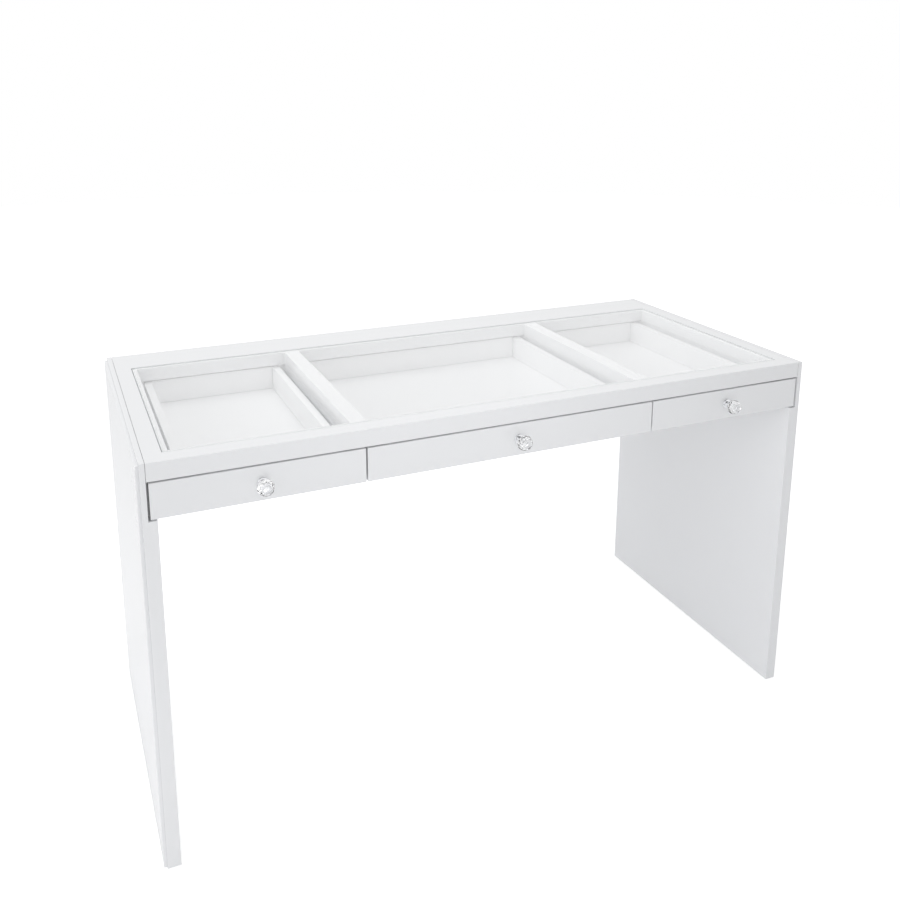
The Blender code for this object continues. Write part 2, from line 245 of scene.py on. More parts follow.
def make_lacquer(name, tone, cool_tone, roughness, ripple):
    points = start_material(name)
    drift = noise(points, 1.8)
    mottle = noise(points, 46, 3)
    return finish_principled(
        points,
        Base_Color=blend_colours(drift, tone, cool_tone),
        Roughness=roughness + mottle * 0.05,
        Normal=relief(noise(points, ORANGE_PEEL, 1), ripple),
        Coat_Weight=0.4,
        Coat_Roughness=0.03,
    )


lacquer = make_lacquer("white_lacquer", (0.870, 0.874, 0.884), (0.852, 0.858, 0.872), 0.10, 0.01 * MM)
# The edge slot: a lower roughness and a finer ripple for the real polish, and a lighter colour that is a
# painted highlight along the rounded edges.
lacquer_edge_highlight = make_lacquer(
    "white_lacquer_edge", (0.885, 0.889, 0.898), (0.868, 0.874, 0.888), 0.08, 0.003 * MM
)
LACQUERED = [lacquer, lacquer_edge_highlight]  # the slots of faces and of rounded edges

# %% [markdown]
# ## Melamine board
#
# The drawer boxes are chipboard faced with white melamine paper. It is pressed against a
# finely pebbled plate, so it has a satin surface with a grain well under a millimetre.

# %% Melamine board
points = start_material("white_melamine")
pebble = noise(points, 1500, 1)
melamine = finish_principled(
    points,
    Base_Color=blend_colours(noise(points, 5, 3), (0.935, 0.935, 0.940), (0.922, 0.924, 0.930)),
    Roughness=0.34 + pebble * 0.14,
    Normal=relief(pebble, 0.03 * MM),
)

# %% [markdown]
# ## Glass and crystal
#
# Both bend light, so both use a transmitting Principled shader. Light that has to pass a real
# pane to reach the drawers would be slow and grainy to trace, so shadow rays and scattered
# light go through a plain Transparent shader, which holds back the little that a real pane
# reflects away, and only what is looked at goes through the glass. This is clear low-iron
# glass, so its ground edge is frosted to a pale grey, with hardly any green. The crystal bends
# light more strongly, which makes its facets sparkle.

# %% Glass, its ground edge, and crystal
def make_glass(name, tint, passed, ior, haze):
    points = start_material(name)
    smears = noise(points, 9, 4)
    film = smears.node("ShaderNodeValToRGB", {"stops": [(0.45, 0), (0.75, 1)]}, {"Fac": smears})
    glass = principled(
        points,
        Base_Color=tint,
        Roughness=film * haze,
        IOR=ior,
        Transmission_Weight=1.0,
    )
    clear = points.node("ShaderNodeBsdfTransparent", inputs={"Color": passed})
    is_shadow = points.node("ShaderNodeLightPath", output="Is Shadow Ray")
    lit_through = points.node("ShaderNodeMixShader", inputs={0: is_shadow, 1: glass, 2: clear})
    is_scattered = is_shadow.sibling("Is Diffuse Ray")
    shader = points.node("ShaderNodeMixShader", inputs={0: is_scattered, 1: lit_through, 2: clear})
    return finish_material(shader)


pane_glass = make_glass("clear_glass", (0.996, 0.998, 0.998), (0.955, 0.957, 0.957), 1.52, 0.02)
crystal_glass = make_glass("cut_crystal", (1.0, 1.0, 1.0), (1.0, 1.0, 1.0), 1.62, 0.0)

points = start_material("ground_glass_edge")
grit = noise(points, 900, 2)
ground_edge = finish_principled(
    points,
    Base_Color=blend_colours(noise(points, 30), (0.80, 0.83, 0.82), (0.86, 0.88, 0.88)),
    Roughness=0.30 + grit * 0.2,
    Normal=relief(grit, 0.02 * MM),
    Coat_Weight=0.2,
)

# %% [markdown]
# ## Metals and nylon
#
# The knob bases are chrome plated and almost perfect mirrors. The slides, screws and bolts
# are bright zinc, whose skin is rolled: fine scratches run along the strip, and the plating
# clouds from bluish to grey. The glides under the legs are plain moulded nylon.

# %% Chrome, zinc and nylon
points = start_material("chrome")
chrome = finish_principled(
    points,
    Base_Color=blend_colours(noise(points, 60), (0.80, 0.81, 0.83), (0.86, 0.87, 0.89)),
    Metallic=1.0,
    Roughness=0.04 + noise(points, 420, 3) * 0.06,
    Normal=relief(noise(points, 700, 2), 0.004 * MM),
)

points = start_material("zinc_steel")
rolled = noise(stretched(points, (1, 0.02, 1)), 2600, 2)
cloud = noise(points, 70, 4)
zinc = finish_principled(
    points,
    Base_Color=blend_colours(cloud, (0.56, 0.59, 0.64), (0.70, 0.71, 0.71)),
    Metallic=1.0,
    Roughness=0.22 + cloud * 0.12 + rolled * 0.1,
    Normal=relief(rolled, 0.012 * MM),
)

points = start_material("glide_nylon")
nylon = finish_principled(
    points,
    Base_Color=blend_colours(noise(points, 120, 3), (0.80, 0.80, 0.78), (0.74, 0.74, 0.71)),
    Roughness=0.42 + noise(points, 800) * 0.12,
    Normal=relief(noise(points, 1100, 2), 0.03 * MM),
)

# %% [markdown]
# ## The studio
#
# White furniture on white is drawn by light alone, so the studio is built like a real one: a
# bright wall to the left, a bright ceiling, dimmer walls in front and behind, and soft lamps.
# The world holds the walls as a brightness for each direction. What is seen past the table,
# and what gloss, glass and crystal mirror, is a plain white paper sweep instead: a bright
# sweep lays a clean veil on the pane and fills the crystals with white. Crystal needs
# something dark to sparkle against, so a black card hangs high in front, where only the
# facets and the chrome can mirror it. The floor glows, so that it stays paper white and only
# the legs' contact shadows remain on it. To the camera alone it glows more than it lights
# the table.

# %% Walls, floor and lamps
WALLS = {  # direction: (how narrow the bright part is, its strength)
    "-X": (4, 1.12),
    "-Y": (1, 0.30),
    "+Y": (1, 0.20),
    "+Z": (1, 0.80),
}
CRYSTAL_SPARKLE = 0.25  # extra brightness of the paper behind the facets
CARD_ABOVE = 0.50  # how high the black card begins, as the z of its direction
CARD_IN_FRONT = 0.10  # and how far to the front
CARD_EDGE = 30  # how sharply the card begins
WALL_PAINT = (0.985, 0.992, 1.0)
FLOOR_GLOW = 0.16
FLOOR_GLOW_SEEN = 0.50  # to the camera alone
FLOOR_RADIUS = 9


def make_walls():
    world = bpy.data.worlds.new("studio")
    world.use_nodes = True
    world.node_tree.nodes.clear()
    direction = Signal(world.node_tree).node("ShaderNodeTexCoord", output="Generated")
    along = direction.node("ShaderNodeSeparateXYZ", inputs={0: direction})
    level = 0
    for wall, (narrowness, strength) in WALLS.items():
        towards = (along.sibling(wall[1]) * (1 if wall[0] == "+" else -1)).at_least(0)
        level = level + towards.maths("POWER", towards, narrowness) * strength
    walls = level.node("ShaderNodeBackground", inputs={"Color": WALL_PAINT, "Strength": level})
    is_seen = level.node("ShaderNodeLightPath", output="Is Camera Ray")
    is_bent = is_seen.sibling("Is Transmission Ray")
    seen_or_mirrored = is_seen + is_seen.sibling("Is Glossy Ray") + is_bent
    above = ((along.sibling("Z") - CARD_ABOVE) * CARD_EDGE).at_least(0)
    in_front = ((along.sibling("Y") * -1 - CARD_IN_FRONT) * CARD_EDGE).at_least(0)
    card = level.maths("MINIMUM", above * in_front, 1) * (1 - is_seen)
    white = (1 + is_bent * CRYSTAL_SPARKLE) * (1 - card)
    paper = level.node("ShaderNodeBackground", inputs={"Color": (1, 1, 1), "Strength": white})
    shader = level.node("ShaderNodeMixShader", inputs={0: seen_or_mirrored, 1: walls, 2: paper})
    shader.node("ShaderNodeOutputWorld", inputs={"Surface": shader})
    bpy.context.scene.world = world


def grey(level):
    return (level, level, level)


def make_floor():
    points = start_material("studio_floor")
    is_seen = points.node("ShaderNodeLightPath", output="Is Camera Ray")
    shader = principled(
        points,
        Base_Color=blend_colours(noise(points, 2), (0.90, 0.90, 0.90), (0.89, 0.89, 0.90)),
        Roughness=0.8 + noise(points, 40) * 0.1,
        Emission_Color=blend_colours(is_seen, grey(FLOOR_GLOW), grey(FLOOR_GLOW_SEEN)),
        Emission_Strength=1.0,
    )
    bm = bmesh.new()
    bmesh.ops.create_circle(bm, cap_ends=True, segments=96, radius=FLOOR_RADIUS)
    mesh = bpy.data.meshes.new("floor")
    bm.to_mesh(mesh)
    bm.free()
    mesh.materials.append(finish_material(shader))
    floor = bpy.data.objects.new("floor", mesh)
    put_in_scene(floor)


def make_lamp(name, place, aim, size, watts, mirrored):
    """A square soft lamp, hidden from the camera itself. Gloss shows it only if it is mirrored."""
    data = bpy.data.lights.new(name, "AREA")
    data.shape = "SQUARE"
    data.size = size
    data.energy = watts
    lamp = bpy.data.objects.new(name, data)
    lamp.location = place
    lamp.rotation_euler = (Vector(aim) - Vector(place)).to_track_quat("-Z", "Y").to_euler()
    lamp.visible_camera = False
    lamp.visible_glossy = mirrored
    put_in_scene(lamp)


make_walls()
make_floor()
LAMPS = {  # name: place, aim, size, power, mirrored
    "left_lamp": ((-2.6, -0.6, 1.5), (0, 0, 0.6), 1.2, 6.5, True),
    "overhead_lamp": ((-0.3, 0.4, 2.6), (0, 0, 0.6), 1.6, 7.6, True),
    "front_lamp": ((-0.15, -1.05, 0.95), (-0.15, -0.29, 0.7), 0.5, 0.8, False),
    "top_lamp": ((-0.2, -0.95, 1.35), (-0.15, -0.1, 0.75), 0.5, 0.92, False),
    "foot_lamp": ((-1.0, -0.85, 0.1), (-0.7, -0.29, 0.1), 0.4, 0.4, False),
}
for lamp_name, lamp in LAMPS.items():
    make_lamp(lamp_name, *lamp)
bpy.context.scene.view_settings.view_transform = "Standard"
print("studio:", len(LAMPS), "lamps and", len(WALLS), "walls")

# %% [markdown]
# ## From a rough solid to a finished board
#
# Every board is made in the same order as on a bench. A plain solid is sawn, the holes and
# rebates are cut, then the edges are eased. No real board has a knife-sharp edge: the small
# rounding catches a line of light, and that line is what shows the shape of a white thing.
# The rounding gets its own material slot. Flat faces keep flat normals, and only the
# roundings are shaded smooth.

# %% Solids
def box_between(low, high):
    """A box with these lowest and highest corners."""
    bm = bmesh.new()
    bmesh.ops.create_cube(bm, size=1)
    for vert in bm.verts:
        vert.co = Vector([high[axis] if vert.co[axis] > 0 else low[axis] for axis in range(3)])
    return bm


def drawn_along_y(outline, y_low, y_high):
    """An outline of (x, z) points drawn out along Y."""
    bm = bmesh.new()
    end = bm.faces.new([bm.verts.new((x, y_low, z)) for x, z in outline])
    drawn = bmesh.ops.extrude_face_region(bm, geom=[end])["geom"]
    far_end = [item for item in drawn if isinstance(item, bmesh.types.BMVert)]
    bmesh.ops.translate(bm, vec=(0, y_high - y_low, 0), verts=far_end)
    return bm


def turned(profile, start, direction, sides):
    """A profile of (radius, distance) points spun round the line from start along direction."""
    bm = bmesh.new()
    points = [bm.verts.new((radius, 0, distance)) for radius, distance in profile]
    lines = [bm.edges.new(pair) for pair in zip(points, points[1:])]
    bmesh.ops.spin(
        bm, geom=points + lines, cent=(0, 0, 0), axis=(0, 0, 1), angle=math.tau, steps=sides, use_merge=True
    )
    bmesh.ops.remove_doubles(bm, verts=bm.verts, dist=0.002 * MM)
    turn = Vector((0, 0, 1)).rotation_difference(Vector(direction)).to_matrix()
    bmesh.ops.rotate(bm, matrix=turn, verts=bm.verts)
    bmesh.ops.translate(bm, vec=start, verts=bm.verts)
    return bm


def rod(radius, start, end, sides=32):
    """A plain cylinder between two points, for a hole."""
    along = Vector(end) - Vector(start)
    profile = [(0, 0), (radius, 0), (radius, along.length), (0, along.length)]
    return turned(profile, start, along, sides)


print("solids ready")

# %% Saw, cut, ease and shade
def to_object(name, bm, skins=()):
    """A bmesh as an object with outward faces and one material slot for each skin."""
    bmesh.ops.recalc_face_normals(bm, faces=bm.faces)
    mesh = bpy.data.meshes.new(name)
    bm.to_mesh(mesh)
    bm.free()
    for skin in skins:
        mesh.materials.append(skin)
    obj = bpy.data.objects.new(name, mesh)
    put_in_scene(obj)
    return obj


def settle(obj):
    """Keep what the modifiers make of an object as its plain mesh, and drop the modifiers."""
    graph = bpy.context.evaluated_depsgraph_get()
    before = obj.data
    after = bpy.data.meshes.new_from_object(
        obj.evaluated_get(graph), preserve_all_data_layers=True, depsgraph=graph
    )
    obj.modifiers.clear()
    obj.data = after
    bpy.data.meshes.remove(before)
    after.name = obj.name
    return obj


def cut(obj, *cutters):
    """Take shapes out of an object."""
    removed = [to_object("cutter", bm) for bm in cutters]
    for cutter in removed:
        boolean = obj.modifiers.new("cut", "BOOLEAN")
        boolean.object = cutter
    settle(obj)
    for cutter in removed:
        bpy.data.objects.remove(cutter)
    return obj


def ease(obj, width, segments):
    """Round the sharp edges."""
    bevel = obj.modifiers.new("arris", "BEVEL")
    bevel.width = width
    bevel.segments = segments
    bevel.limit_method = "ANGLE"
    bevel.angle_limit = math.radians(40)
    bevel.material = 1 if len(obj.data.materials) > 1 else -1
    return settle(obj)


def shade(obj, sharpest=38):
    """Smooth the round stretches while the flat faces stay flat."""
    obj.data.shade_smooth()
    obj.data.set_sharp_from_angle(angle=math.radians(sharpest))
    weighted = obj.modifiers.new("flat_faces", "WEIGHTED_NORMAL")
    weighted.keep_sharp = True
    return settle(obj)


def join_in(piece, body):
    """A finished piece moves with a body."""
    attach(piece, body)
    print(piece.name, "has", len(piece.data.polygons), "faces")


def stand_in(piece, node):
    """A finished piece that is also shown in the place of its CAD node."""
    join_in(piece, frame["nodes"][node]["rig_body"])
    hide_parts(node)


print("bench ready")

# %% [markdown]
# ## Legs
#
# A leg is a 30 mm slab as deep as the table. Its upper part is cut back to a thin cheek, and
# the drawer box stands on the shoulder this leaves. A narrow rebate runs round the front,
# top and rear edges of the outer face, and shows as a fine double line down the corner. It is
# cut with three overlapping boxes before the edges are eased, so that the easing also meets
# cleanly inside the rebate. The holes for the bolts and the glides' nails come last.

# %% Legs
GAP = 0.3 * MM  # air between pieces that touch
LEG_ARRIS = 0.7 * MM
STEP_WIDTH = 5.5 * MM  # of the rebate, across the leg's thickness
STEP_DEPTH = 5 * MM
SIDES = {"left": -1, "right": 1}
ENDS = ("front", "rear")
BOLT_RADIUS = 3 * MM
NAIL_RADIUS = 1.5 * MM


def middle_of(node):
    low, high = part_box(node)
    return (low + high) / 2


def outer_and_inner(node, sign):
    """A node's x at its face towards the table's end, and at the face towards its middle."""
    low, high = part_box(node)
    return (high.x, low.x) if sign > 0 else (low.x, high.x)


def nail_hole(node):
    low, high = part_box(node)
    centre = middle_of(node)
    return rod(NAIL_RADIUS + GAP, (centre.x, centre.y, low.z), (centre.x, centre.y, high.z + MM))


def bolt_shank_hole(node, sign):
    tip, head = outer_and_inner(node, sign)
    centre = middle_of(node)
    return rod(BOLT_RADIUS + GAP, (tip + sign * MM, centre.y, centre.z), (head, centre.y, centre.z))


def corner_rebate(low, high, outer, sign):
    """Three boxes that cut the step along the front, top and rear edges of a leg's outer face."""
    x_low, x_high = sorted((outer + sign * MM, outer - sign * STEP_WIDTH))
    foot, head = low.z - MM, high.z + MM
    return [
        box_between((x_low, low.y - MM, foot), (x_high, low.y + STEP_DEPTH, head)),
        box_between((x_low, high.y - STEP_DEPTH, foot), (x_high, high.y + MM, head)),
        box_between((x_low, low.y - MM, high.z - STEP_DEPTH), (x_high, high.y + MM, head)),
    ]


def make_leg(side, sign):
    node = f"{side}_leg"
    low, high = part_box(node)
    outer, inner = outer_and_inner(node, sign)
    cheek = outer_and_inner(f"{side}_box_side", sign)[0] + sign * GAP
    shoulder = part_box(f"{side}_box_side")[0].z - GAP
    outline = [
        (outer, low.z),
        (inner, low.z),
        (inner, shoulder),
        (cheek, shoulder),
        (cheek, high.z),
        (outer, high.z),
    ]
    leg = to_object(node + "_finished", drawn_along_y(outline, low.y, high.y), LACQUERED)
    cut(leg, *corner_rebate(low, high, outer, sign))
    ease(leg, LEG_ARRIS, 3)
    holes = [nail_hole(f"{side}_{end}_glide") for end in ENDS]
    holes += [bolt_shank_hole(f"{side}_{end}_leg_bolt", sign) for end in ENDS]
    stand_in(shade(cut(leg, *holes)), node)


for side, sign in SIDES.items():
    make_leg(side, sign)

# %% [markdown]
# ## The routed top
#
# The top is one board. A router has sunk a shallow rebate for the glass and then cut three
# windows right through the floor of the rebate, leaving a lip all round and two bars. A
# round cutter can't leave a square inside corner, so the cutting shapes have rounded upright
# edges. Cutting first and easing afterwards softens every rim that the cuts leave.

# %% Top frame
BOARD_ARRIS = 0.8 * MM
GLASS_CLEARANCE = 1.2 * MM
LIP = 11 * MM
ROUTER_RADIUS = 2 * MM
OVERSHOOT = 10 * MM  # how far a cutting shape passes the face it cuts


def routed_pocket(low, high):
    """A box with rounded upright edges."""
    bm = box_between(low, high)
    upright = [edge for edge in bm.edges if abs(edge.verts[0].co.z - edge.verts[1].co.z) > MM]
    bmesh.ops.bevel(bm, geom=upright, offset=ROUTER_RADIUS, segments=5, profile=0.5, affect="EDGES")
    return bm


def bays():
    """The x span of each drawer's bay, from the walls on both sides of it."""
    left_wall, right_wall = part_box("left_box_side"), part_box("right_box_side")
    left_bar, right_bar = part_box("left_divider"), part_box("right_divider")
    return {
        "left": (left_wall[1].x, left_bar[0].x),
        "centre": (left_bar[1].x, right_bar[0].x),
        "right": (right_bar[1].x, right_wall[0].x),
    }


def make_top_frame():
    low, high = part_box("top_frame")
    glass_low, glass_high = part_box("glass_top")
    lip_z = glass_low.z - GAP
    edge = Vector((GLASS_CLEARANCE, GLASS_CLEARANCE, 0))
    rebate_low, rebate_high = glass_low - edge, glass_high + edge
    rebate_low.z = lip_z
    rebate_high.z = high.z + OVERSHOOT
    top = to_object("top_frame_finished", box_between(low, high), LACQUERED)
    cut(top, routed_pocket(rebate_low, rebate_high))
    for left, right in bays().values():
        window_low = (left, rebate_low.y + LIP, low.z - OVERSHOOT)
        window_high = (right, rebate_high.y - LIP, lip_z + OVERSHOOT)
        cut(top, routed_pocket(window_low, window_high))
    stand_in(shade(ease(top, BOARD_ARRIS, 4)), "top_frame")


make_top_frame()

# %% [markdown]
# ## The glass
#
# The pane is 5 mm glass with its edges ground to a frosted bevel. The faces are one material
# and the ground edge another, because the grinding is what you see from the side. It is one
# closed solid, so light bends into it and out of it as it should.

# %% Glass pane
GROUND_BEVEL = 0.9 * MM


def make_pane():
    low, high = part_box("glass_top")
    pane = to_object("glass_top_finished", routed_pocket(low, high), [pane_glass, ground_edge])
    for face in pane.data.polygons:
        face.material_index = 0 if abs(face.normal.z) > 0.5 else 1
    stand_in(shade(ease(pane, GROUND_BEVEL, 1), 20), "glass_top")


make_pane()

# %% [markdown]
# ## The drawer box's walls
#
# The box under the top is made of plain boards: a thick wall beside each leg, two dividers
# under the bars, and a panel across the back. They share one function, which takes the place
# of the board from its CAD node. The thick walls are also counterbored for the bolts that
# hold them to the legs.

# %% Walls, dividers and back panel
BOLT_HEAD_DEPTH = 6 * MM


def make_plain_board(node, holes=()):
    board = to_object(node + "_finished", box_between(*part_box(node)), LACQUERED)
    ease(board, BOARD_ARRIS, 3)
    if holes:
        cut(board, *holes)
    stand_in(shade(board), node)


def bolt_head_hole(node, sign):
    """The wide part of a bolt's hole, from the head's seat out into the drawer's bay."""
    low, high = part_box(node)
    centre = middle_of(node)
    head = outer_and_inner(node, sign)[1]
    seat = (head + sign * (BOLT_HEAD_DEPTH - MM), centre.y, centre.z)
    return rod((high.z - low.z) / 2 + GAP, seat, (head - sign * OVERSHOOT, centre.y, centre.z))


for side, sign in SIDES.items():
    bolts = [f"{side}_{end}_leg_bolt" for end in ENDS]
    holes = [bolt_hole(bolt, sign) for bolt_hole in (bolt_shank_hole, bolt_head_hole) for bolt in bolts]
    make_plain_board(f"{side}_box_side", holes)
for node in ("left_divider", "right_divider", "back_panel"):
    make_plain_board(node)

# %% [markdown]
# ## The drawers
#
# A drawer is a lacquered front on a melamine box. Its sides are grooved near the bottom, the
# thin floor slides into both grooves, and the back stands on the floor. The upper edges and
# the ends of the boards carry a thin glued edging, which is smoother than the faces, so those
# faces take the second material slot together with the roundings.

# %% Edging
points = start_material("melamine_edging")
edging = finish_principled(
    points,
    Base_Color=blend_colours(noise(points, 14, 2), (0.930, 0.930, 0.935), (0.915, 0.917, 0.923)),
    Roughness=0.24 + noise(stretched(points, (1, 0.05, 1)), 900, 2) * 0.1,
    Normal=relief(noise(points, 600, 1), 0.01 * MM),
)

# %% Drawer boxes and fronts
FRONT_ARRIS = 1.1 * MM
MELAMINE_ARRIS = 0.5 * MM
GROOVE_DEPTH = 6 * MM
KNOB_HOLE_RADIUS = 2.3 * MM
DRAWERS = ("left", "centre", "right")


def band_edges(board):
    """Give the upward and end faces of a melamine board the edging's slot."""
    for face in board.data.polygons:
        if face.normal.z > 0.9 or abs(face.normal.y) > 0.9:
            face.material_index = 1
    return board


def make_drawer_side(name, side, sign):
    """A drawer's side wall: outward is towards sign, and the groove is cut in its inner face."""
    node = f"{name}_drawer_{side}_side"
    low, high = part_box(node)
    outer, inner = outer_and_inner(node, sign)
    floor_low, floor_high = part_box(f"{name}_drawer_floor")
    groove = inner + sign * GROOVE_DEPTH
    outline = [
        (outer, low.z),
        (inner, low.z),
        (inner, floor_low.z - GAP),
        (groove, floor_low.z - GAP),
        (groove, floor_high.z + GAP),
        (inner, floor_high.z + GAP),
        (inner, high.z),
        (outer, high.z),
    ]
    board = to_object(node + "_finished", drawn_along_y(outline, low.y, high.y), [melamine, edging])
    stand_in(shade(ease(band_edges(board), MELAMINE_ARRIS, 3)), node)


def make_drawer(name):
    for side, sign in SIDES.items():
        make_drawer_side(name, side, sign)
    for part, arris in (("floor", 0.2 * MM), ("back", 0.3 * MM)):
        node = f"{name}_drawer_{part}"
        board = to_object(node + "_finished", box_between(*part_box(node)), [melamine, edging])
        if part == "back":
            band_edges(board)
        stand_in(shade(ease(board, arris, 2)), node)
    node = f"{name}_drawer_front"
    low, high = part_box(node)
    knob = middle_of(f"{name}_knob_base")
    front = to_object(node + "_finished", box_between(low, high), LACQUERED)
    ease(front, FRONT_ARRIS, 4)
    cut(front, rod(KNOB_HOLE_RADIUS, (knob.x, low.y - MM, knob.z), (knob.x, high.y + MM, knob.z)))
    stand_in(shade(front), node)


for name in DRAWERS:
    make_drawer(name)

# %% [markdown]
# ## Knobs
#
# A knob is a cut crystal on a small turned base, drawn tight by a screw from inside the
# drawer. The base is a profile spun on a lathe, so it is written as one: straight lines and
# arcs from the wide foot through the neck to the cup. The crystal's facets come from a merged
# copy of its CAD mesh. Real facets meet in a polished line, not a razor edge, and that line
# glints, so its edges are eased by a tenth of a millimetre and the facets stay flat.

# %% Turned profiles
def arc(centre, radius, start, end, steps=6):
    """Points on an arc, given in degrees, round a centre in a profile."""
    turns = [math.radians(start + (end - start) * step / steps) for step in range(steps + 1)]
    return [(centre[0] + radius * math.cos(turn), centre[1] + radius * math.sin(turn)) for turn in turns]


def in_mm(profile):
    return [(radius * MM, distance * MM) for radius, distance in profile]


BASE_PROFILE = in_mm(
    [(0, 8.5), (2.3, 8.5), (2.3, 0.3), (9.6, 0.3)]
    + arc((9.6, 0.7), 0.4, -90, 0)
    + arc((9.2, 1.4), 0.8, 0, 80)
    + arc((7.6, 6.4), 3.2, 262, 180, 8)
    + arc((5.4, 6.6), 1.0, 180, 120, 3)
    + arc((7.2, 9.6), 0.6, -60, 0, 4)
    + [(7.8, 11.2)]
    + arc((7.3, 11.2), 0.5, 0, 90, 4)
    + [(0, 11.7)]
)
SCREW_RECESS = 1.3 * MM
FACET_ARRIS = 0.12 * MM


def cross_recess(centre, axis, size, depth):
    """Two crossed bars that cut a screwdriver's recess, sunk along an axis from a point."""
    bars = []
    for long_axis in {0, 1, 2} - {axis}:
        low = Vector(centre)
        high = Vector(centre)
        for other in range(3):
            half = size / 2 if other == long_axis else size / 10
            low[other] -= depth if other == axis else half
            high[other] += depth if other == axis else half
        bars.append(box_between(low, high))
    return bars


def make_knob(name):
    crystal_node, base_node, screw_node = (f"{name}_knob_{part}" for part in ("crystal", "base", "screw"))
    low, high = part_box(f"{name}_drawer_front")
    knob = middle_of(base_node)
    face = (knob.x, low.y, knob.z)
    base = to_object(base_node + "_finished", turned(BASE_PROFILE, face, (0, -1, 0), 64), [chrome])
    stand_in(shade(base), base_node)

    bm = bmesh.new()
    bm.from_mesh(frame["nodes"][crystal_node].data)
    bmesh.ops.remove_doubles(bm, verts=bm.verts, dist=0.01 * MM)
    bmesh.ops.dissolve_limit(bm, angle_limit=math.radians(1), verts=bm.verts, edges=bm.edges)
    crystal = to_object(crystal_node + "_finished", bm, [crystal_glass])
    bevel = crystal.modifiers.new("polished_edges", "BEVEL")
    bevel.width = FACET_ARRIS
    bevel.segments = 2
    bevel.limit_method = "NONE"
    settle(crystal)
    crystal.data.shade_flat()
    stand_in(crystal, crystal_node)

    tip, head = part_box(screw_node)[0].y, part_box(screw_node)[1].y
    start = (knob.x, tip, knob.z)
    seat, length = (high.y + GAP - tip) / MM, (head - tip) / MM
    profile = [(0, 0), (1.5, 0), (2, 1), (2, seat), (3.9, seat), (4.2, seat + 0.3), (4.1, seat + 1.1)]
    profile += [(3.4, seat + 1.9), (2, length - 0.1), (0, length)]
    screw = to_object(screw_node + "_finished", turned(in_mm(profile), start, (0, 1, 0), 32), [zinc])
    cut(screw, *cross_recess((knob.x, head, knob.z), 1, 4.6 * MM, SCREW_RECESS))
    stand_in(shade(screw), screw_node)


for name in DRAWERS:
    make_knob(name)

# %% [markdown]
# ## Bolts and glides
#
# Socket bolts through the box's walls hold the legs, and their heads sit in the counterbores.
# Under each leg are two nylon glides. A glide is a shallow disc with a steel nail through it,
# whose head is sunk below the running face so that it never scratches a floor.

# %% Leg bolts
def make_leg_bolt(side, sign, end):
    node = f"{side}_{end}_leg_bolt"
    low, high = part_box(node)
    tip, head = outer_and_inner(node, sign)
    centre = middle_of(node)
    length = abs(tip - head)
    radius = (high.z - low.z) / 2
    seat = length - 5 * MM
    profile = [(0, 0), (BOLT_RADIUS - 0.6 * MM, 0), (BOLT_RADIUS, 0.8 * MM), (BOLT_RADIUS, seat)]
    profile += [(radius, seat), (radius, length - 0.6 * MM), (radius - 0.6 * MM, length), (0, length)]
    start = (tip, centre.y, centre.z)
    bolt = to_object(node + "_finished", turned(profile, start, (-sign, 0, 0), 40), [zinc])
    socket_bottom = (head + sign * 2.6 * MM, centre.y, centre.z)
    socket = rod(2.9 * MM, socket_bottom, (head - sign * MM, centre.y, centre.z), sides=6)
    stand_in(shade(cut(bolt, socket)), node)


# %% Glides and their nails
def make_glide(side, end):
    node = f"{side}_{end}_glide"
    low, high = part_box(node)
    centre = middle_of(node)
    radius = (high.x - low.x) / 2 / MM
    disc = [(1.7, 1.3), (4.2, 1.3), (4.4, 0.1)]
    disc += [(4.6, 0.0), (radius - 1.2, 0.0)] + arc((radius - 1.2, 1.2), 1.2, -90, 0) + [(radius, 2.2)]
    disc += [(1.7, 2.2), (1.7, 1.3)]
    foot = (centre.x, centre.y, low.z)
    glide = to_object(node + "_finished", turned(in_mm(disc), foot, (0, 0, 1), 48), [nylon])
    stand_in(shade(glide), node)
    length = (high.z - low.z) / MM
    nail = [(0, 0.35)] + arc((3.4, 0.8), 0.45, -90, 90, 4)
    nail += [(1.5, 1.25), (1.5, length - 2.5), (0, length)]
    steel_nail = to_object(f"{side}_{end}_glide_nail", turned(in_mm(nail), foot, (0, 0, 1), 24), [zinc])
    join_in(shade(steel_nail), "carcass")


for side, sign in SIDES.items():
    for end in ENDS:
        make_leg_bolt(side, sign, end)
        make_glide(side, end)

# %% [markdown]
# ## Drawer slides
#
# A full-extension slide is three strips of folded steel, one inside another, with a row of
# balls between each pair. Each strip is a bent line of constant thickness, so its section is
# made from a line: corners are turned into arcs, and the line is then thickened. One slide is
# made at the origin, with x as the depth from the wall, y along the slide and z up. Copies
# are then placed in each bay, turned over for the right-hand walls.

# %% Sections of folded strip
GAUGE = 1.2 * MM
BEND_RADIUS = 1.8 * MM  # of the strip's middle line
RACEWAY = 0.35 * MM  # depth of the groove that the balls run in
RACEWAY_HALF = 1.6 * MM
OUTER_BALLS = 6.4 * MM  # depth of the balls between the cabinet member and the runner
INNER_BALLS = 9.2 * MM  # depth of the balls between the runner and the drawer member
SLIDE_LENGTH = 500 * MM
SLIDE_DEPTH = 13 * MM


def rounded_line(points, radius, steps=4):
    """A line whose inner corners are turned into arcs that touch both of their sides."""
    points = [Vector(point) for point in points]
    line = [points[0]]
    for before, corner, after in zip(points, points[1:], points[2:]):
        back, forth = before - corner, after - corner
        half_angle = back.angle(forth) / 2
        reach = min(radius / math.tan(half_angle), back.length / 2, forth.length / 2)
        back.normalize()
        forth.normalize()
        centre = corner + (back + forth).normalized() * reach / math.cos(half_angle)
        first, last = corner + back * reach - centre, corner + forth * reach - centre
        turn = first.angle(last)
        for step in range(steps + 1):
            lead, trail = math.sin((1 - step / steps) * turn), math.sin(step / steps * turn)
            line.append(centre + (lead * first + trail * last) / math.sin(turn))
    line.append(points[-1])
    return line


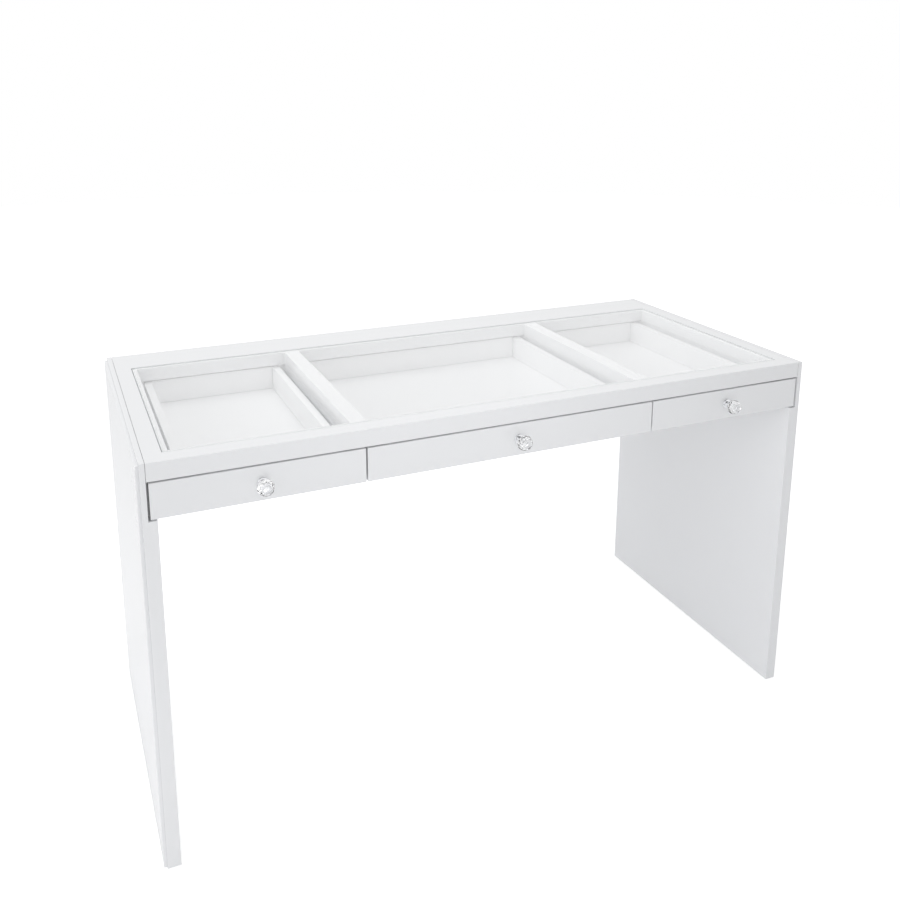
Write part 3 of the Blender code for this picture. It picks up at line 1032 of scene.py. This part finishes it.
def thickened(line, gauge):
    """The closed outline of a strip that follows a line."""
    one_side, other_side = [], []
    for index, point in enumerate(line):
        along = (line[min(index + 1, len(line) - 1)] - line[max(index - 1, 0)]).normalized()
        across = Vector((-along.y, along.x)) * gauge / 2
        one_side.append(point + across)
        other_side.append(point - across)
    return one_side + other_side[::-1]


def member_section(web, tip, half_height, ball, dip):
    """A slide member. Its flanges reach from web to tip, and dip towards the middle at the balls."""
    towards = math.copysign(1, tip - web)
    web_line = web + towards * GAUGE / 2
    top = half_height - GAUGE / 2 + min(dip, 0)
    side = towards * RACEWAY_HALF
    upper = [(web_line, top), (ball - side, top), (ball, top - dip), (ball + side, top), (tip, top)]
    lower = [(depth, -height) for depth, height in reversed(upper)]
    return thickened(rounded_line(lower + upper, BEND_RADIUS), GAUGE)


SAMPLE = "left_drawer_left"


def member_size(member):
    """How far a member's two sides are from the left wall, and half of its height."""
    low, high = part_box(f"{SAMPLE}_{member}")
    wall_x = bays()["left"][0]
    return low.x - wall_x, high.x - wall_x, (high.z - low.z) / 2


cabinet_web, cabinet_tip, cabinet_half = member_size("cabinet_slide")
runner_web, runner_tip, runner_half = member_size("runner")
drawer_tip, drawer_web, drawer_half = member_size("slide")
SECTIONS = {
    "cabinet_slide": member_section(cabinet_web, cabinet_tip, cabinet_half, OUTER_BALLS, -RACEWAY),
    "runner": member_section(runner_web, runner_tip, runner_half, OUTER_BALLS, RACEWAY),
    "slide": member_section(drawer_web, drawer_tip, drawer_half, INNER_BALLS, RACEWAY),
}
for member, section in SECTIONS.items():
    print(member, "has", len(section), "section points")

# %% [markdown]
# ## Slots, balls and screws by rule
#
# Slots, balls and screws repeat along the slides, so Geometry Nodes set them out. One tree
# cuts a row of holes with a cutter of any shape, another lays a row of balls in a perforated
# cage, and a third puts a copy of one piece on every point of a mesh. Each tree's sizes are
# named inputs, set by their identifiers before the object is first evaluated.

# %% How a tree is built and run
def start_tree(name, **inputs):
    """A Geometry Nodes tree and its group input. Underscores in names stand for spaces."""
    tree = bpy.data.node_groups.new(name, "GeometryNodeTree")
    tree.interface.new_socket("Geometry", in_out="OUTPUT", socket_type="NodeSocketGeometry")
    tree.interface.new_socket("Geometry", in_out="INPUT", socket_type="NodeSocketGeometry")
    for label, kind in inputs.items():
        tree.interface.new_socket(label.replace("_", " "), in_out="INPUT", socket_type="NodeSocket" + kind)
    return tree, Signal(tree).node("NodeGroupInput", output="Geometry")


def end_tree(geometry, skin):
    """Realize the instances, give them a material and send them to the tree's output."""
    plain = geometry.node("GeometryNodeRealizeInstances", inputs={"Geometry": geometry})
    coated = plain.node("GeometryNodeSetMaterial", inputs={"Geometry": plain, "Material": skin})
    coated.node("NodeGroupOutput", inputs={"Geometry": coated})


def run_tree(obj, tree, **values):
    """Run a tree on an object and keep the plain mesh that it makes."""
    keys = {item.name: item.identifier for item in tree.interface.items_tree if item.in_out == "INPUT"}
    rule = obj.modifiers.new(tree.name, "NODES")
    rule.node_group = tree
    for label, value in values.items():
        rule[keys[label.replace("_", " ")]] = value
    return settle(obj)


def points_in_row(given):
    """The points of a row, from a tree's own Count, Start and Step."""
    sizes = {"Count": given.sibling("Count"), "Start Location": given.sibling("Start")}
    return given.node("GeometryNodeMeshLine", inputs={**sizes, "Offset": given.sibling("Step")})


def shape_of(given, label):
    """The mesh of an object that a tree is given."""
    inputs = {"Object": given.sibling(label), "As Instance": True}
    return given.node("GeometryNodeObjectInfo", inputs=inputs, output="Geometry")


def copies_on(points, shape):
    return points.node("GeometryNodeInstanceOnPoints", inputs={"Points": points, "Instance": shape})


def minus(solid, removed):
    settings = {"operation": "DIFFERENCE", "solver": "EXACT"}
    return solid.node("GeometryNodeMeshBoolean", settings, {"Mesh 1": solid, "Mesh 2": removed})


# %% The three trees
hole_row, given = start_tree("row_of_holes", Cutter="Object", Count="Int", Start="Vector", Step="Vector")
end_tree(minus(given, copies_on(points_in_row(given), shape_of(given, "Cutter"))), zinc)

ball_row, given = start_tree("ball_cage", Count="Int", Start="Vector", Step="Vector", Ball_Radius="Float")
ball_radius = given.sibling("Ball Radius")
ball_points = points_in_row(given)
pocket = given.node(
    "GeometryNodeMeshCylinder", inputs={"Vertices": 14, "Radius": ball_radius * 1.06, "Depth": 4 * MM}
)
ball = given.node("GeometryNodeMeshUVSphere", inputs={"Segments": 10, "Rings": 7, "Radius": ball_radius})
cage_and_balls = given.node("GeometryNodeJoinGeometry")
join = cage_and_balls.socket.node
for part in (minus(given, copies_on(ball_points, pocket)), copies_on(ball_points, ball)):
    ball_row.links.new(part.socket, join.inputs["Geometry"])
end_tree(cage_and_balls, zinc)

copy_on_points, given = start_tree("copy_on_points", Piece="Object")
end_tree(copies_on(given, shape_of(given, "Piece")), zinc)
print("trees:", [tree.name for tree in bpy.data.node_groups])

# %% [markdown]
# ## Making one slide, then placing six
#
# The members are punched with slots, which is how the screws behind them are reached. The
# cages ride with the runner. The outer cage lies in the runner's rear half and the inner one
# in its front half, so both stay between their two members when the drawer is pulled right
# out.

# %% One slide's parts
SLIDE_CUTS = {  # member: slot length, slot height, how many, where the first one is, pitch
    "cabinet_slide": (16, 5.0, 5, 68, 91),
    "runner": (34, 9.0, 4, 46, 136),
    "slide": (12, 4.6, 6, 52, 79),
}
SCREW_PLACES = {"cabinet_slide": (37, 261, 457), "slide": (28, 238, 472)}
BALL_PITCH = 11.5 * MM
CAGE_HALF_WIDTH = 1.9 * MM
CAGE_GAUGE = 0.5 * MM


def slot_cutter(length, height):
    low, high = Vector((-5, -length / 2, -height / 2)) * MM, Vector((20, length / 2, height / 2)) * MM
    bm = box_between(low, high)
    across = [edge for edge in bm.edges if abs(edge.verts[0].co.x - edge.verts[1].co.x) > MM]
    bmesh.ops.bevel(bm, geom=across, offset=0.49 * height * MM, segments=4, profile=0.5, affect="EDGES")
    return to_object("slot_cutter", bm)


def make_member(member):
    strip = to_object(member, drawn_along_y(SECTIONS[member], 0, SLIDE_LENGTH), [zinc])
    length, height, count, first, pitch = SLIDE_CUTS[member]
    cutter = slot_cutter(length, height)
    start, step = (0, first * MM, 0), (0, pitch * MM, 0)
    run_tree(strip, hole_row, Cutter=cutter, Count=count, Start=start, Step=step)
    bpy.data.objects.remove(cutter)
    return strip


def make_cage(name, depth, outer_half, inner_half, y_low, y_high):
    """A perforated strip with its balls, between the raceways of an outer and an inner member."""
    outer_race, inner_race = outer_half - GAUGE, inner_half - RACEWAY
    ball_z = (outer_race + inner_race) / 2
    radius = (outer_race - inner_race) / 2
    margin = Vector((CAGE_HALF_WIDTH, 0, CAGE_GAUGE / 2))
    low = Vector((depth, y_low, ball_z)) - margin
    high = Vector((depth, y_high, ball_z)) + margin
    cage = to_object(name, box_between(low, high), [zinc])
    count = int((y_high - y_low) / BALL_PITCH)
    start = (depth, y_low + BALL_PITCH / 2, ball_z)
    return run_tree(cage, ball_row, Count=count, Start=start, Step=(0, BALL_PITCH, 0), Ball_Radius=radius)


def make_screw(shank, head, height, towards):
    """A pan-head screw on the x axis, with its seat at the origin. Towards is +1 or -1."""
    profile = [(0, -9), (0.4, -8.6), (shank, -7), (shank, 0), (head - 0.1, 0), (head, 0.1)]
    profile += [(head - 0.2, height * 0.55), (head * 0.62, height * 0.9), (0, height)]
    screw = to_object("screw", turned(in_mm(profile), (0, 0, 0), (towards, 0, 0), 24), [zinc])
    return cut(screw, *cross_recess((towards * height * MM, 0, 0), 0, head * 1.05 * MM, 0.6 * height * MM))


def set_out(name, piece, places):
    """Copies of a piece with their origins at these places. The piece itself is used up."""
    bm = bmesh.new()
    for place in places:
        bm.verts.new(place)
    copies = run_tree(to_object(name, bm), copy_on_points, Piece=piece)
    bpy.data.objects.remove(piece)
    return copies


members = {member: make_member(member) for member in SECTIONS}
HALF = SLIDE_LENGTH / 2
CAGE_END = 12 * MM
outer_cage = make_cage("outer_cage", OUTER_BALLS, cabinet_half, runner_half, HALF, SLIDE_LENGTH - CAGE_END)
inner_cage = make_cage("inner_cage", INNER_BALLS, runner_half, drawer_half, CAGE_END, HALF)
print("one slide's outer cage has", len(outer_cage.data.polygons), "faces")

# %% One slide's screws
BACK_SCREW_INSET = 7.5 * MM  # the middle of the drawer's back board
BACK_SCREW_HEIGHTS = (-13 * MM, 18 * MM)
slide_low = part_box(SAMPLE + "_runner")[0]
drawer_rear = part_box(SAMPLE + "_side")[1].y - slide_low.y - BACK_SCREW_INSET
wall_depth, drawer_depth = cabinet_web + GAUGE, drawer_web - GAUGE
SCREWS = {  # kind: shank radius, head radius and head height in mm, where the head points, places
    "wall_screws": (1.7, 3.3, 0.8, 1, [(wall_depth, y * MM, 0) for y in SCREW_PLACES["cabinet_slide"]]),
    "drawer_screws": (1.7, 3.3, 0.8, -1, [(drawer_depth, y * MM, 0) for y in SCREW_PLACES["slide"]]),
    "back_screws": (2.4, 4.2, 0.6, -1, [(SLIDE_DEPTH, drawer_rear, z) for z in BACK_SCREW_HEIGHTS]),
}
screws = {kind: set_out(kind, make_screw(*shape), places) for kind, (*shape, places) in SCREWS.items()}
for kind, made in screws.items():
    print(kind, "have", len(made.data.polygons), "faces")

# %% Place the slides in the bays
SLIDE_Z = middle_of(SAMPLE + "_runner").z


def placed(base, name, wall_x, inward, flips=(1,)):
    """A part of the slide, copied to a bay's wall. A flip of -1 is upside down."""
    bm = bmesh.new()
    for flip in flips:
        part = base.data.copy()
        shift = Matrix.Translation((wall_x, slide_low.y, SLIDE_Z))
        part.transform(shift @ Matrix.Diagonal((inward, 1, flip, 1)))
        bm.from_mesh(part)
        bpy.data.meshes.remove(part)
    return shade(to_object(name, bm, [zinc]))


for name, (left_wall, right_wall) in bays().items():
    for side, wall_x, inward in (("left", left_wall, 1), ("right", right_wall, -1)):
        root = f"{name}_drawer_{side}"
        for member, strip in members.items():
            node = f"{root}_{member}"
            stand_in(placed(strip, node + "_finished", wall_x, inward), node)
        for cage in (outer_cage, inner_cage):
            cage_piece = placed(cage, f"{root}_{cage.name}", wall_x, inward, (1, -1))
            join_in(cage_piece, f"{name}_runners")
        for kind, made in screws.items():
            body = "carcass" if kind == "wall_screws" else f"{name}_drawer"
            join_in(placed(made, f"{root}_{kind}", wall_x, inward), body)

for base in (*members.values(), outer_cage, inner_cage, *screws.values()):
    bpy.data.objects.remove(base)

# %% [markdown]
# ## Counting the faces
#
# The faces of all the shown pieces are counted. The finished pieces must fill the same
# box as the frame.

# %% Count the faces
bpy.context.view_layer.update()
faces = sum(len(obj.data.polygons) for obj in bpy.data.objects if obj.type == "MESH" and not obj.hide_render)
print("faces in all:", faces)
